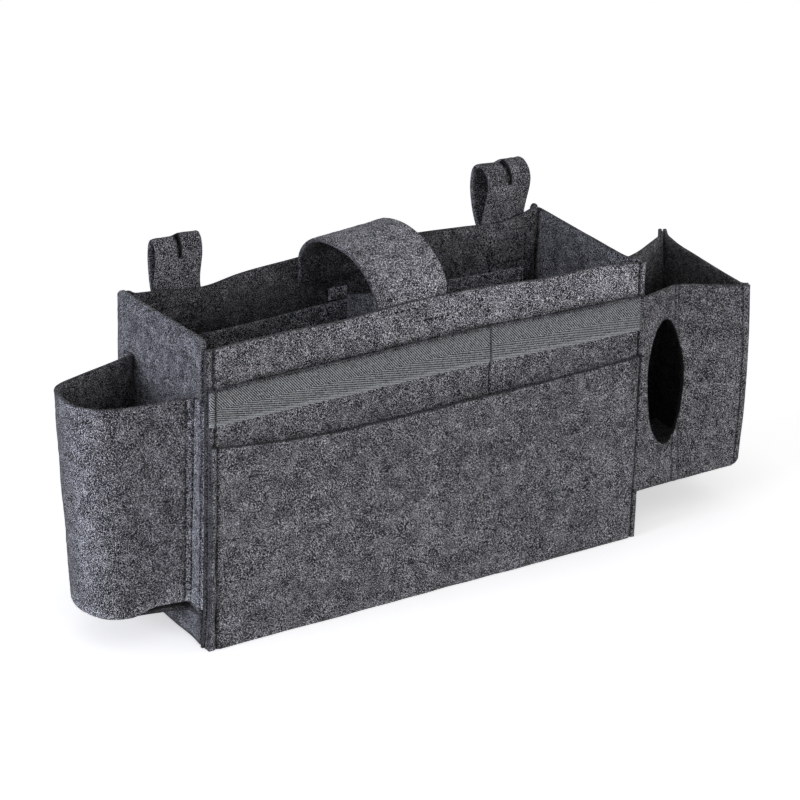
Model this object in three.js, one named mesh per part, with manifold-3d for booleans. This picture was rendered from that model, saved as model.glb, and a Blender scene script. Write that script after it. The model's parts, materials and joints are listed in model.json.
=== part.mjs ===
import * as THREE from 'three';
import Module from 'manifold-3d';
import { mergeVertices } from 'three/addons/utils/BufferGeometryUtils.js';

const wasm = await Module();
wasm.setup();

// Sheet materials, in millimetres
const felt = 3;
const tape = 1.2;
const gap = 0.3;
const layer = felt + gap;
const thread = 0.6;
const threadWidth = 0.9;

// Main box: widths and depths are over the outer faces of its panels
const boxWidth = 346;
const boxDepth = 117;
const boxHeight = 214;
const seam = 6.5;
const cornerRadius = 4;
const crease = 0;
const rimBow = 9;
const bowPower = 3;

// Pockets on the long walls
const frontPocketTop = 144;
const webbingLow = 163;
const webbingWidth = 25;
const innerPocketTop = 180;
const innerPocketInset = 18;
const pocketDivideX = 47.5;
const seamRowInset = 2.5;

// Cross divider and the tape over its back seam
const dividerX = 1;
const dividerHeight = 184;
const patchWidth = 15;
const patchLow = 181;
const patchHigh = 190;

// Carrying handle
const handleX = -10.5;
const handleWidth = 57;
const handleRise = 31;
const handleTabDepth = 18;
const handleLean = 25;
const leanMargin = 1.5;
const tabPeak = 4;
const tabEdgeStitch = 2;

// Hanging loops: each bends at the top of its sewn tab, behind the back panel
const loopWidth = 36;
const loopSpacing = 273;
const loopShift = 5;
const loopPivotDrop = 10;
const loopTabDepth = 21;
const loopBend = 5;
const loopLeanBack = 0.4;
const slitLength = 16;
const slitWidth = 1.2;
const boxStitchInset = 2.5;
const boxStitchHeight = 18;
const loopBulgeShare = 0.7;
const loopShoulderShare = 0.9;
const loopShoulderTuck = 0.6;
const loopRearShare = 0.66;
const loopLowShare = 0.32;
const loopLowTuck = 0.7;
const leftLoopRise = 41.5;
const leftLoopAhead = 4;
const leftLoopMiddle = 3;
const leftLoopBehind = 10.8;
const rightLoopRise = 50;
const rightLoopAhead = 6;
const rightLoopMiddle = 4.8;
const rightLoopBehind = 17;

// Bottle pocket on the left panel
const bottleTop = 174;
const bottleLow = 24.5;
const bottleTab = 10;
const bottleBackY = 49;
const bottleFrontY = -40;
const bottleReach = 79;
const bottleTipBack = 24.5;
const bottleTipFront = -28;
const bottleTipRadius = 22;
const bottleFootReach = 72.5;
const bottleFootBack = 17;
const bottleFootFront = -33;
const bottleFootRadius = 26;

// Tissue pocket on the right panel, with its two folded ends
const tissueTop = 174;
const tissueLow = 28;
const tissueTab = 8;
const tissueHalf = 48;
const tissueCreaseX = 60;
const tissueReachFront = 106;
const tissueReachBack = 113;
const tissueFrontFold = 21;
const tissueBackFold = 14;
const tissueFootFold = 4;
const tissueBackY = 58;
const ovalHeight = 94.5;
const ovalWidth = 36.5;
const ovalCentreX = 46.5;
const ovalCentreZ = 104;

// Mesh density
const bendSteps = 5;
const tipSteps = 12;
const curveSteps = 40;
const levelStep = 21.4;
const stations = 14;
const ovalSteps = 40;
const tissueRows = 6;

// Places that several pieces share
const sideFace = boxWidth / 2;
const frontFace = -boxDepth / 2;
const backFace = boxDepth / 2;
const frontInside = frontFace + felt;
const backInside = backFace - felt;
const edgeX = sideFace + seam;
const wallLine = gap + felt / 2;
const loopPivotY = backFace + gap + layer - gap / 2;
const loopPivotZ = boxHeight - loopPivotDrop;

const feltMaterial = new THREE.MeshStandardMaterial({ color: 0x46474b, roughness: 0.95, metalness: 0 });
const webbingMaterial = new THREE.MeshStandardMaterial({ color: 0x74766e, roughness: 0.85, metalness: 0 });
const threadMaterial = new THREE.MeshStandardMaterial({ color: 0x2b2c2f, roughness: 0.7, metalness: 0 });

const group = new THREE.Group();
group.name = 'bedside_caddy';

// Adds one named piece to the assembly.
function piece(name, geometry, material = feltMaterial) {
  const mesh = new THREE.Mesh(geometry, material);
  mesh.name = name;
  group.add(mesh);
}

// Rounds the inner corners of a line of [a, b] points, with one radius for each corner. A crease has none.
function bend(points, radii, steps = bendSteps) {
  const line = [points[0]];
  radii.forEach((radius, i) => {
    if (radius === crease) {
      line.push(points[i + 1]);
      return;
    }
    const corner = new THREE.Vector2(...points[i + 1]);
    const back = new THREE.Vector2(...points[i]).sub(corner).normalize();
    const ahead = new THREE.Vector2(...points[i + 2]).sub(corner).normalize();
    const half = back.angleTo(ahead) / 2;
    const centre = back.clone().add(ahead).setLength(radius / Math.sin(half)).add(corner);
    const from = back.multiplyScalar(radius / Math.tan(half)).add(corner).sub(centre).angle();
    const to = ahead.multiplyScalar(radius / Math.tan(half)).add(corner).sub(centre).angle();
    const sweep = Math.atan2(Math.sin(to - from), Math.cos(to - from));
    for (let k = 0; k <= steps; k += 1) {
      const turn = from + (sweep * k) / steps;
      line.push([centre.x + radius * Math.cos(turn), centre.y + radius * Math.sin(turn)]);
    }
  });
  line.push(points[points.length - 1]);
  return line;
}

// Moves a line sideways, to its left for a positive distance.
function offset(line, distance) {
  const points = line.map((point) => new THREE.Vector2(...point));
  return points.map((point, i) => {
    const before = point.clone().sub(points[i - 1] ?? point).normalize();
    const after = (points[i + 1] ?? point).clone().sub(point).normalize();
    const along = before.clone().add(after).normalize();
    const stretch = Math.max(along.dot(before), along.dot(after));
    const step = distance / stretch;
    return [point.x - along.y * step, point.y + along.x * step];
  });
}

// Builds one closed sheet from rows of lines, each row at its own height.
function sheet(rows, thickness = felt) {
  const position = [];
  const index = [];
  rows.forEach(({ line, z }) => {
    const left = offset(line, thickness / 2);
    const right = offset(line, -thickness / 2).reverse();
    [...left, ...right].forEach(([x, y]) => position.push(x, y, z));
  });
  const count = rows[0].line.length;
  const ring = count * 2;
  const last = (rows.length - 1) * ring;
  for (let row = 0; row < last; row += ring) {
    for (let i = 0; i < ring; i += 1) {
      const next = (i + 1) % ring;
      index.push(row + i, row + ring + next, row + next);
      index.push(row + i, row + ring + i, row + ring + next);
    }
  }
  for (let i = 0; i < count - 1; i += 1) {
    const across = ring - 1 - i;
    index.push(i, i + 1, across - 1, i, across - 1, across);
    index.push(last + i, last + across - 1, last + i + 1, last + i, last + across, last + across - 1);
  }
  const geometry = new THREE.BufferGeometry();
  geometry.setAttribute('position', new THREE.Float32BufferAttribute(position, 3));
  geometry.setIndex(index);
  geometry.computeVertexNormals();
  return geometry;
}

// Builds an upright wall that follows one plan line.
function wall(line, low, high, thickness = felt) {
  return sheet([{ line, z: low }, { line, z: high }], thickness);
}

// Turns a sheet drawn in side view, so that its rows run along X.
function turned(geometry) {
  const across = new THREE.Vector3(1, 0, 0);
  const depth = new THREE.Vector3(0, 1, 0);
  const upward = new THREE.Vector3(0, 0, 1);
  return geometry.applyMatrix4(new THREE.Matrix4().makeBasis(depth, upward, across));
}

// Makes a box from its two opposite corners.
function block(low, high) {
  const size = new THREE.Vector3().subVectors(high, low);
  const centre = new THREE.Vector3().addVectors(low, high).divideScalar(2);
  return new THREE.BoxGeometry(size.x, size.y, size.z).translate(centre.x, centre.y, centre.z);
}

// Makes a flat plate from a plan outline.
function plate(outline, low, thickness = felt) {
  const shape = new THREE.Shape(outline.map((point) => new THREE.Vector2(...point)));
  const options = { depth: thickness, bevelEnabled: false };
  return new THREE.ExtrudeGeometry(shape, options).translate(0, 0, low);
}

// Turns a geometry into a solid that can be cut.
function solid(geometry) {
  const bare = new THREE.BufferGeometry();
  bare.setAttribute('position', geometry.getAttribute('position'));
  bare.setIndex(geometry.getIndex());
  const merged = mergeVertices(bare);
  const vertProperties = new Float32Array(merged.getAttribute('position').array);
  const triVerts = new Uint32Array(merged.getIndex().array);
  return new wasm.Manifold(new wasm.Mesh({ numProp: 3, vertProperties, triVerts }));
}

// Cuts one geometry out of another.
function cut(geometry, tool) {
  const mesh = solid(geometry).subtract(solid(tool)).getMesh();
  const result = new THREE.BufferGeometry();
  result.setAttribute('position', new THREE.BufferAttribute(mesh.vertProperties, mesh.numProp));
  result.setIndex(new THREE.BufferAttribute(mesh.triVerts, 1));
  result.computeVertexNormals();
  return result;
}

// The front wall bows into the box, most at the middle of its rim.
function bow(x, z) {
  const along = Math.min(Math.abs(x) / sideFace, 1);
  return rimBow * (1 - along ** 2) * (z / boxHeight) ** bowPower;
}

// Lists the heights between two limits where the bowed sheets have a row.
function levels(low, high) {
  const list = [low];
  for (let z = levelStep; z < high; z += levelStep) {
    if (z > low) {
      list.push(z);
    }
  }
  list.push(high);
  return list;
}

// Builds a sheet that follows the bowed front wall at a set distance from its straight plane.
function frontSheet(y, fromX, toX, heights, thickness = felt) {
  const rows = heights.map((z) => {
    const line = [];
    for (let i = 0; i <= stations; i += 1) {
      const x = fromX + ((toX - fromX) * i) / stations;
      line.push([x, y + bow(x, z)]);
    }
    return { line, z };
  });
  return sheet(rows, thickness);
}

// Lays an upright row of thread over stepped layers of the front wall.
function frontThread(x, steps) {
  const half = threadWidth / 2;
  const rows = steps.map(({ y, z }) => {
    const face = y + bow(x, z) - gap - thread / 2;
    return { line: [[x - half, face], [x + half, face]], z };
  });
  return sheet(rows, thread);
}

// Main box: base, front, back and two side panels
const baseX = sideFace - layer;
const baseY = backInside - gap;
piece('base_panel', block(new THREE.Vector3(-baseX, -baseY, 0), new THREE.Vector3(baseX, baseY, felt)));

piece('front_panel', frontSheet(frontFace + felt / 2, -edgeX, edgeX, levels(0, boxHeight)));

const backFlangeX = sideFace - layer - felt / 2;
const backEndY = backFace + seam;
const backLine = bend(
  [
    [-backFlangeX, backEndY],
    [-backFlangeX, backFace - felt / 2],
    [backFlangeX, backFace - felt / 2],
    [backFlangeX, backEndY],
  ],
  [cornerRadius, cornerRadius],
);
piece('back_panel', wall(backLine, 0, boxHeight));

const sideFlangeY = frontInside + wallLine;
const sideLineX = sideFace - felt / 2;
['left', 'right'].forEach((side) => {
  const sign = side === 'left' ? -1 : 1;
  const corners = [
    [sign * sideLineX, backEndY],
    [sign * sideLineX, sideFlangeY],
    [sign * edgeX, sideFlangeY],
  ];
  piece(`${side}_panel`, wall(bend(corners, [cornerRadius]), 0, boxHeight));
});

// Front pockets: the middle pocket with its webbing band, and the low pocket over it
const middleY = frontFace - layer + felt / 2;
const middleFace = frontFace - layer;
const lowPocketFace = middleFace - layer;
const webbingTop = webbingLow + webbingWidth;
const webbingFace = middleFace - gap - tape;
piece('middle_pocket', frontSheet(middleY, -edgeX, edgeX, levels(0, webbingTop)));
piece(
  'webbing_band',
  frontSheet(webbingFace + tape / 2, -edgeX, edgeX, levels(webbingLow, webbingTop), tape),
  webbingMaterial,
);
piece('front_pocket', frontSheet(lowPocketFace + felt / 2, -edgeX, edgeX, levels(0, frontPocketTop)));

// Thread rows of the front wall: both corners, and the row that divides the middle pocket
const overMiddle = [
  { y: middleFace, z: frontPocketTop + layer },
  { y: middleFace, z: webbingLow - layer },
  { y: webbingFace, z: webbingLow - gap },
  { y: webbingFace, z: webbingTop - threadWidth },
];
const overAll = [
  { y: lowPocketFace, z: felt },
  { y: lowPocketFace, z: frontPocketTop + gap },
  ...overMiddle,
  { y: webbingFace, z: webbingTop + gap },
  { y: frontFace, z: webbingTop + 2 * layer },
  { y: frontFace, z: boxHeight - felt },
];
piece('left_corner_thread', frontThread(-sideFace + seamRowInset, overAll), threadMaterial);
piece('right_corner_thread', frontThread(sideFace - seamRowInset, overAll), threadMaterial);
piece('pocket_divide_thread', frontThread(pocketDivideX, overMiddle), threadMaterial);

// Flat pocket on the inside of the back panel, with a thread row at each end
const innerPocketX = sideFace - innerPocketInset;
const innerPocketFace = backInside - layer;
piece(
  'inner_pocket',
  block(
    new THREE.Vector3(-innerPocketX, innerPocketFace, felt + gap),
    new THREE.Vector3(innerPocketX, innerPocketFace + felt, innerPocketTop),
  ),
);
['left', 'right'].forEach((side) => {
  const sign = side === 'left' ? -1 : 1;
  const x = sign * (innerPocketX - seamRowInset);
  const face = innerPocketFace - gap;
  piece(
    `inner_${side}_thread`,
    block(
      new THREE.Vector3(x - threadWidth / 2, face - thread, felt + layer),
      new THREE.Vector3(x + threadWidth / 2, face, innerPocketTop - felt),
    ),
    threadMaterial,
  );
});

// Cross divider: it stands on the base and follows the bowed front panel
const dividerBackY = innerPocketFace - gap;
const dividerSide = levels(felt + gap, dividerHeight).map((z) => [frontInside + gap + bow(dividerX, z), z]);
const dividerOutline = [...dividerSide, [dividerBackY, dividerHeight], [dividerBackY, felt + gap]];
piece('cross_divider', turned(plate(dividerOutline, dividerX - felt / 2)));

const patchFace = backInside - gap;
piece(
  'divider_seam_tape',
  block(
    new THREE.Vector3(dividerX - patchWidth, patchFace - tape, patchLow),
    new THREE.Vector3(dividerX, patchFace, patchHigh),
  ),
  webbingMaterial,
);

// Carrying handle: an arch that leans from side to side between two sewn tabs
const handleHalf = handleWidth / 2;
const archFrontY = frontInside + wallLine + bow(handleX, boxHeight);
const archBackY = backInside - wallLine;
const archMiddleY = (archFrontY + archBackY) / 2;
const archReach = (archBackY - archFrontY) / 2;
const archLine = [];
for (let k = 0; k <= curveSteps; k += 1) {
  const turn = (Math.PI * k) / curveSteps;
  archLine.push([archMiddleY + archReach * Math.cos(turn), boxHeight + handleRise * Math.sin(turn)]);
}
const archRows = [handleX - handleHalf, handleX + handleHalf].map((z) => ({ line: archLine, z }));
piece('handle_arch', turned(sheet(archRows)));

// Each tab slopes away on both sides of the pivot, so that the arch can lean.
const tabLow = boxHeight - handleTabDepth;
const tabSlope = Math.tan(THREE.MathUtils.degToRad(handleLean + leanMargin));
const tabSteps = [
  { half: handleHalf, z: tabLow },
  { half: handleHalf, z: boxHeight - gap - handleHalf * tabSlope },
  { half: tabPeak / 2, z: boxHeight - gap - (tabPeak / 2) * tabSlope },
];
const frontTabRows = tabSteps.map(({ half, z }) => {
  const y = frontInside + wallLine + bow(handleX, boxHeight);
  return { line: [[handleX - half, y], [handleX + half, y]], z };
});
const backTabRows = tabSteps.map(({ half, z }) => {
  return { line: [[handleX - half, archBackY], [handleX + half, archBackY]], z };
});
piece('handle_front_tab', sheet(frontTabRows));
piece('handle_back_tab', sheet(backTabRows));

// One row of thread holds each tab near its lower edge.
const tabThreadZ = tabLow + tabEdgeStitch;
const tabThreadFrom = handleX - handleHalf + seamRowInset;
const tabThreadTo = handleX + handleHalf - seamRowInset;
piece(
  'handle_front_thread',
  frontSheet(
    frontFace - gap - thread / 2,
    tabThreadFrom,
    tabThreadTo,
    [tabThreadZ, tabThreadZ + threadWidth],
    thread,
  ),
  threadMaterial,
);
const backThreadFace = backInside - layer - gap;
piece(
  'handle_back_thread',
  block(
    new THREE.Vector3(tabThreadFrom, backThreadFace - thread, tabThreadZ),
    new THREE.Vector3(tabThreadTo, backThreadFace, tabThreadZ + threadWidth),
  ),
  threadMaterial,
);

// Hanging loops: a folded strap with a slit at its top, and its two sewn ends
function hangingLoop(side, x, rise, ahead, middle, behind) {
  const half = loopWidth / 2;
  const profile = [
    [-layer / 2, 0],
    [loopLeanBack, loopPivotDrop],
    [-ahead, rise * loopBulgeShare],
    [-ahead * loopShoulderTuck, rise * loopShoulderShare],
    [middle, rise],
    [behind * loopShoulderShare, rise * loopShoulderShare],
    [behind, rise * loopRearShare],
    [behind * loopLowTuck, rise * loopLowShare],
    [layer / 2, 0],
  ].map(([y, z]) => new THREE.Vector2(loopPivotY + y, loopPivotZ + z));
  const line = new THREE.SplineCurve(profile).getPoints(curveSteps).map(({ x: y, y: z }) => [y, z]);
  const strap = turned(sheet([x - half, x + half].map((z) => ({ line, z }))));
  const slit = block(
    new THREE.Vector3(x - slitWidth / 2, loopPivotY - ahead - felt, loopPivotZ + rise - slitLength),
    new THREE.Vector3(x + slitWidth / 2, loopPivotY + middle, loopPivotZ + rise + felt),
  );
  piece(`${side}_hanging_loop`, cut(strap, slit));

  const tabHigh = loopPivotZ - loopBend;
  ['front', 'rear'].forEach((end, i) => {
    const face = backFace + gap + i * layer;
    piece(
      `${side}_loop_${end}_tab`,
      block(
        new THREE.Vector3(x - half, face, tabHigh - loopTabDepth),
        new THREE.Vector3(x + half, face + felt, tabHigh),
      ),
    );
  });

  const stitchFace = backInside - gap;
  const stitchHalf = half - boxStitchInset;
  const ringLow = tabHigh - boxStitchHeight;
  const ring = block(
    new THREE.Vector3(x - stitchHalf, stitchFace - thread, ringLow),
    new THREE.Vector3(x + stitchHalf, stitchFace, tabHigh),
  );
  const window = block(
    new THREE.Vector3(x - stitchHalf + threadWidth, stitchFace - felt, ringLow + threadWidth),
    new THREE.Vector3(x + stitchHalf - threadWidth, stitchFace + felt, tabHigh - threadWidth),
  );
  piece(`${side}_loop_thread`, cut(ring, window), threadMaterial);
}
hangingLoop('left', loopShift - loopSpacing / 2, leftLoopRise, leftLoopAhead, leftLoopMiddle, leftLoopBehind);
hangingLoop('right', loopShift + loopSpacing / 2, rightLoopRise, rightLoopAhead, rightLoopMiddle, rightLoopBehind);

// Bottle pocket on the left panel: a tapered wrap, its flat base and its thread rows
function bottleLine(reach, back, front, radius) {
  const line = bend(
    [
      [wallLine, bottleBackY + bottleTab],
      [wallLine, bottleBackY],
      [reach, back],
      [reach, front],
      [wallLine, bottleFrontY],
      [wallLine, bottleFrontY - bottleTab],
    ],
    [cornerRadius, radius, radius, cornerRadius],
    tipSteps,
  );
  return line.map(([out, y]) => [-sideFace - out, y]);
}
piece(
  'bottle_wrap',
  sheet([
    { line: bottleLine(bottleFootReach, bottleFootBack, bottleFootFront, bottleFootRadius), z: bottleLow },
    { line: bottleLine(bottleReach, bottleTipBack, bottleTipFront, bottleTipRadius), z: bottleTop },
  ]),
);
const bottleBase = bend(
  [
    [gap, bottleBackY],
    [bottleFootReach + felt / 2, bottleFootBack + felt / 2],
    [bottleFootReach + felt / 2, bottleFootFront - felt / 2],
    [gap, bottleFrontY],
  ],
  [bottleFootRadius, bottleFootRadius],
  tipSteps,
).map(([out, y]) => [-sideFace - out, y]);
piece('bottle_base', plate(bottleBase, bottleLow - layer));

const bottleRows = {
  bottle_front_thread: bottleFrontY - bottleTab + seamRowInset,
  bottle_edge_thread: bottleFrontY - bottleTab + threadWidth,
  bottle_back_thread: bottleBackY + bottleTab - seamRowInset,
};
const bottleRowX = -sideFace - layer - gap;
Object.entries(bottleRows).forEach(([name, y]) => {
  piece(
    name,
    block(
      new THREE.Vector3(bottleRowX - thread, y - threadWidth / 2, bottleLow + felt),
      new THREE.Vector3(bottleRowX, y + threadWidth / 2, bottleTop - felt),
    ),
    threadMaterial,
  );
});

// Tissue pocket on the right panel: both ends are folded inwards at a crease, most at the mouth
function tissuePlan(frontFold, backFold) {
  const fold = new THREE.Vector2(sideFace + tissueCreaseX, frontFold - tissueHalf);
  const corner = new THREE.Vector2(sideFace + tissueReachFront, -tissueHalf);
  const outward = corner.clone().sub(fold).normalize();
  const inward = new THREE.Vector2(-outward.y, outward.x);
  const frontEnd = corner.clone().addScaledVector(outward, seam);
  const outerCorner = corner.clone().addScaledVector(inward, layer);
  const outerStart = frontEnd.clone().addScaledVector(inward, layer);
  const backCorner = new THREE.Vector2(sideFace + tissueReachBack, tissueBackY);
  const along = backCorner.clone().sub(outerCorner).normalize();
  const inside = new THREE.Vector2(-along.y, along.x);
  const outerEnd = backCorner.clone().addScaledVector(along, seam);
  const backEnd = outerEnd.clone().addScaledVector(inside, layer);
  const backTurn = backEnd.clone().addScaledVector(along, -seam - felt);
  const wallX = sideFace + wallLine;
  const front = [
    [wallX, tissueTab - tissueHalf],
    [wallX, -tissueHalf],
    fold.toArray(),
    frontEnd.toArray(),
  ];
  const back = [
    [wallX, tissueHalf + tissueTab],
    [wallX, tissueHalf],
    [sideFace + tissueCreaseX, tissueHalf - backFold],
    backTurn.toArray(),
    backEnd.toArray(),
  ];
  const outer = [outerStart.toArray(), outerCorner.toArray(), outerEnd.toArray()];
  return {
    front: bend(front, [cornerRadius, crease]),
    back: bend(back, [cornerRadius, crease, cornerRadius]),
    outer: bend(outer, [cornerRadius]),
    corner,
    outward,
    inward,
  };
}
const tissuePlans = [];
for (let row = 0; row <= tissueRows; row += 1) {
  const share = row / tissueRows;
  const frontFold = THREE.MathUtils.lerp(tissueFootFold, tissueFrontFold, share);
  const backFold = THREE.MathUtils.lerp(tissueFootFold, tissueBackFold, share);
  const z = THREE.MathUtils.lerp(tissueLow, tissueTop, share);
  tissuePlans.push({ ...tissuePlan(frontFold, backFold), z });
}
const [foot] = tissuePlans;
const oval = new THREE.Shape();
oval.absellipse(sideFace + ovalCentreX, ovalCentreZ, ovalWidth / 2, ovalHeight / 2, 0, Math.PI * 2);
const ovalOptions = { depth: boxDepth, bevelEnabled: false, curveSegments: ovalSteps };
const ovalTool = new THREE.ExtrudeGeometry(oval, ovalOptions).rotateX(Math.PI / 2);
function tissueSheet(side) {
  return sheet(tissuePlans.map((plan) => ({ line: plan[side], z: plan.z })));
}
piece('tissue_front_panel', cut(tissueSheet('front'), ovalTool));
piece('tissue_back_panel', tissueSheet('back'));
piece('tissue_outer_panel', tissueSheet('outer'));

const baseFold = tissueHalf - tissueFootFold + felt / 2;
const tissueBase = [
  [sideFace + gap, -tissueHalf],
  [sideFace + tissueCreaseX, -baseFold],
  foot.corner.toArray(),
  [sideFace + tissueReachBack, tissueBackY],
  [sideFace + tissueCreaseX, baseFold],
  [sideFace + gap, tissueHalf],
];
piece('tissue_base', plate(tissueBase, tissueLow - layer));

// Thread rows of the tissue pocket: the outer front corner, and the back seam seen inside the box
const cornerRows = tissuePlans.map((plan) => {
  const middle = plan.corner.clone().addScaledVector(plan.inward, -felt / 2 - gap - thread / 2);
  const from = middle.clone().addScaledVector(plan.outward, -threadWidth / 2).toArray();
  const to = middle.clone().addScaledVector(plan.outward, threadWidth / 2).toArray();
  return { line: [from, to], z: plan.z };
});
piece('tissue_corner_thread', sheet(cornerRows, thread), threadMaterial);
const wallRowX = sideFace - felt - gap;
const wallRowY = tissueHalf + tissueTab / 2;
piece(
  'tissue_wall_thread',
  block(
    new THREE.Vector3(wallRowX - thread, wallRowY - threadWidth / 2, tissueLow),
    new THREE.Vector3(wallRowX, wallRowY + threadWidth / 2, tissueTop),
  ),
  threadMaterial,
);

export default group;
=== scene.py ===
import json
import math

import bpy
import numpy as np
from mathutils import Matrix, Vector


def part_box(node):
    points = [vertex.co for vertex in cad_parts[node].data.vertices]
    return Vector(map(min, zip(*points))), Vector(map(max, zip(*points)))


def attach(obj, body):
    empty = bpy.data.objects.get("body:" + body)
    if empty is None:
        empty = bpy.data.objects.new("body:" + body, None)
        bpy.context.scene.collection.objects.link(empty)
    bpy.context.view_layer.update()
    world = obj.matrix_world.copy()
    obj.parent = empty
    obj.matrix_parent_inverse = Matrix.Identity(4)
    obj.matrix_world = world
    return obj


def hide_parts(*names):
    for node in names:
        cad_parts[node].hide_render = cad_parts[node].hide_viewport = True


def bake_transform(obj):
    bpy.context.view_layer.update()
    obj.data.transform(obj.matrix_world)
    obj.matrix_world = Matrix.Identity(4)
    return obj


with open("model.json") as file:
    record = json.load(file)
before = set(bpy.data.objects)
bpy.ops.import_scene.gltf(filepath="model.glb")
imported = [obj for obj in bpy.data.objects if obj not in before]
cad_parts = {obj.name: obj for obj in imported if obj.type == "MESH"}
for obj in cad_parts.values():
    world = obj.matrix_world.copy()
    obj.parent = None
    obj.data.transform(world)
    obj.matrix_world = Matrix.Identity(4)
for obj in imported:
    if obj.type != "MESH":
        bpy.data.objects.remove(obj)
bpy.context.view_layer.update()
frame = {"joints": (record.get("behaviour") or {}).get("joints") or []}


# Camera: a long lens looks down on the caddy from beyond its front left corner.
# Its place, turn and lens were solved from the edges of the main box in the picture.
MM = 0.001
CAMERA_AT = (-1149.1, -1697.4, 972.5)
CAMERA_YAW = 34.394
CAMERA_PITCH = 22.540
CAMERA_ROLL = 1.669
CAMERA_LENS = 142.88


def in_scene(name, data):
    made = bpy.data.objects.new(name, data)
    bpy.context.scene.collection.objects.link(made)
    return made


camera_data = bpy.data.cameras.new("camera")
camera_data.lens = CAMERA_LENS
camera_data.clip_end = 20
camera = in_scene("camera", camera_data)
turn = Matrix.Rotation(math.radians(-CAMERA_YAW), 4, "Z")
tilt = Matrix.Rotation(math.radians(90 - CAMERA_PITCH), 4, "X")
level = Matrix.Rotation(math.radians(CAMERA_ROLL), 4, "Z")
camera.matrix_world = Matrix.Translation(Vector(CAMERA_AT) * MM) @ turn @ tilt @ level
bpy.context.scene.camera = camera
bpy.context.scene.view_settings.view_transform = "Standard"


# Studio: a white paper floor in a white room, with one large soft box in front and one at the left.
# The room and the paper look pure white to the camera, and the paper keeps the object's faint shadow.
def node(tree, kind, sockets=None, **settings):
    made = tree.nodes.new(kind)
    for key, value in settings.items():
        setattr(made, key, value)
    for key, value in (sockets or {}).items():
        if isinstance(value, bpy.types.NodeSocket):
            tree.links.new(value, made.inputs[key])
        else:
            made.inputs[key].default_value = value
    return made


def seen_directly(tree):
    """1 where the camera sees a surface itself, in a mirror or through glass, and else 0."""
    path = node(tree, "ShaderNodeLightPath").outputs
    seen = path["Is Camera Ray"]
    for ray in ("Is Glossy Ray", "Is Transmission Ray"):
        seen = node(tree, "ShaderNodeMath", {0: seen, 1: path[ray]}, operation="MAXIMUM").outputs[0]
    return seen


ROOM_LIGHT = 0.23
world = bpy.data.worlds.new("studio")
world.use_nodes = True
sky = world.node_tree
sky.nodes.clear()
room = node(sky, "ShaderNodeBackground", {"Color": (1, 1, 1, 1), "Strength": ROOM_LIGHT})
white = node(sky, "ShaderNodeBackground", {"Color": (1, 1, 1, 1), "Strength": 1})
backdrop = node(sky, "ShaderNodeMixShader", {0: seen_directly(sky), 1: room.outputs[0], 2: white.outputs[0]})
node(sky, "ShaderNodeOutputWorld", {"Surface": backdrop.outputs[0]})
bpy.context.scene.world = world


def soft_box(name, place, target, size, power, colour):
    lamp = bpy.data.lights.new(name, "AREA")
    lamp.shape = "DISK"
    lamp.size = size
    lamp.energy = power
    lamp.color = colour
    box = in_scene(name, lamp)
    box.location = place
    box.rotation_euler = (Vector(target) - Vector(place)).to_track_quat("-Z", "Y").to_euler()


soft_box("front_light", place=(0.1, -2.6, 0.55), target=(0, 0, 0.1), size=1.3, power=26,
         colour=(1, 0.98, 0.99))
soft_box("left_light", place=(-2.7, -0.25, 0.7), target=(-0.1, 0, 0.1), size=1.3, power=46,
         colour=(0.82, 0.86, 1))

PAPER_COLOUR = (0.88, 0.88, 0.88, 1)
PAPER_GLOW = 0.74
SHADOW_REACH = 0.08
SHADOW_DEPTH = 0.32
PAPER_HALF = 4
floor_mesh = bpy.data.meshes.new("floor")
floor_corners = [(-1, -1, 0), (1, -1, 0), (1, 1, 0), (-1, 1, 0)]
floor_mesh.from_pydata([Vector(corner) * PAPER_HALF for corner in floor_corners], [], [(0, 1, 2, 3)])
floor = in_scene("floor", floor_mesh)


def new_material(name):
    """A material with an empty node tree, and that tree."""
    material = bpy.data.materials.new(name)
    material.use_nodes = True
    material.node_tree.nodes.clear()
    return material, material.node_tree


paper, sheet = new_material("white_paper")
matt = node(sheet, "ShaderNodeBsdfDiffuse", {"Color": PAPER_COLOUR})
# Ambient occlusion dims the paper's glow near the object: a painted contact shadow.
nearby = node(sheet, "ShaderNodeAmbientOcclusion", {"Distance": SHADOW_REACH}, samples=8).outputs["AO"]
shaded = node(sheet, "ShaderNodeMapRange", {"Value": nearby, "To Min": (1 - SHADOW_DEPTH) * PAPER_GLOW,
              "To Max": PAPER_GLOW})
glow = node(sheet, "ShaderNodeEmission", {"Color": (1, 1, 1, 1), "Strength": shaded.outputs[0]})
lit = node(sheet, "ShaderNodeAddShader", {0: matt.outputs[0], 1: glow.outputs[0]})
shown = node(sheet, "ShaderNodeMixShader", {0: seen_directly(sheet), 1: matt.outputs[0], 2: lit.outputs[0]})
node(sheet, "ShaderNodeOutputMaterial", {"Surface": shown.outputs[0]})
floor_mesh.materials.append(paper)


# Base panel: a rectangle of polyester felt, needle-punched from dark and pale fibres.
# It closes the bottom of the main box and is sewn to the lower edges of its four walls.
FELT = 3.0
GAP = 0.3
FELT_EDGE = 1.0
GRAIN = 0.52
GRAIN_WEIGHT = 2.3
FIBRE_LENGTH = 4.5
FIBRE_WIDTH = 0.55
FIBRE_TURNS = ((0.3, 0.5, 0.2), (1.5, -0.6, 1.1), (-0.7, 1.2, 2.2), (0.2, -0.9, 2.9))
MOTTLE = 10.0
MOTTLE_WEIGHT = 0.45
DARKEST, PALEST = 1.87, 2.345
LUMP = 7.0
LUMP_DEPTH = 0.10
SWELL = 45.0
SWELL_DEPTH = 0.25
GROOVE_SHADE = 0.7
RIM_SHADE = 0.72
RIM_FACING = 0.7
WAVES = 24
GRID = 3.0
ROW_STEPS = (-4.0, -2.4, -1.4, -0.7, 0.0, 0.7, 1.4, 2.4, 4.0)
LEFT_FLARE = ((-38, -12, 25, 55), (5.8, 4.9, 3.4, 1.6))
BACK_REACH = 1.5
CORNER_REACH = 5.0


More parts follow.
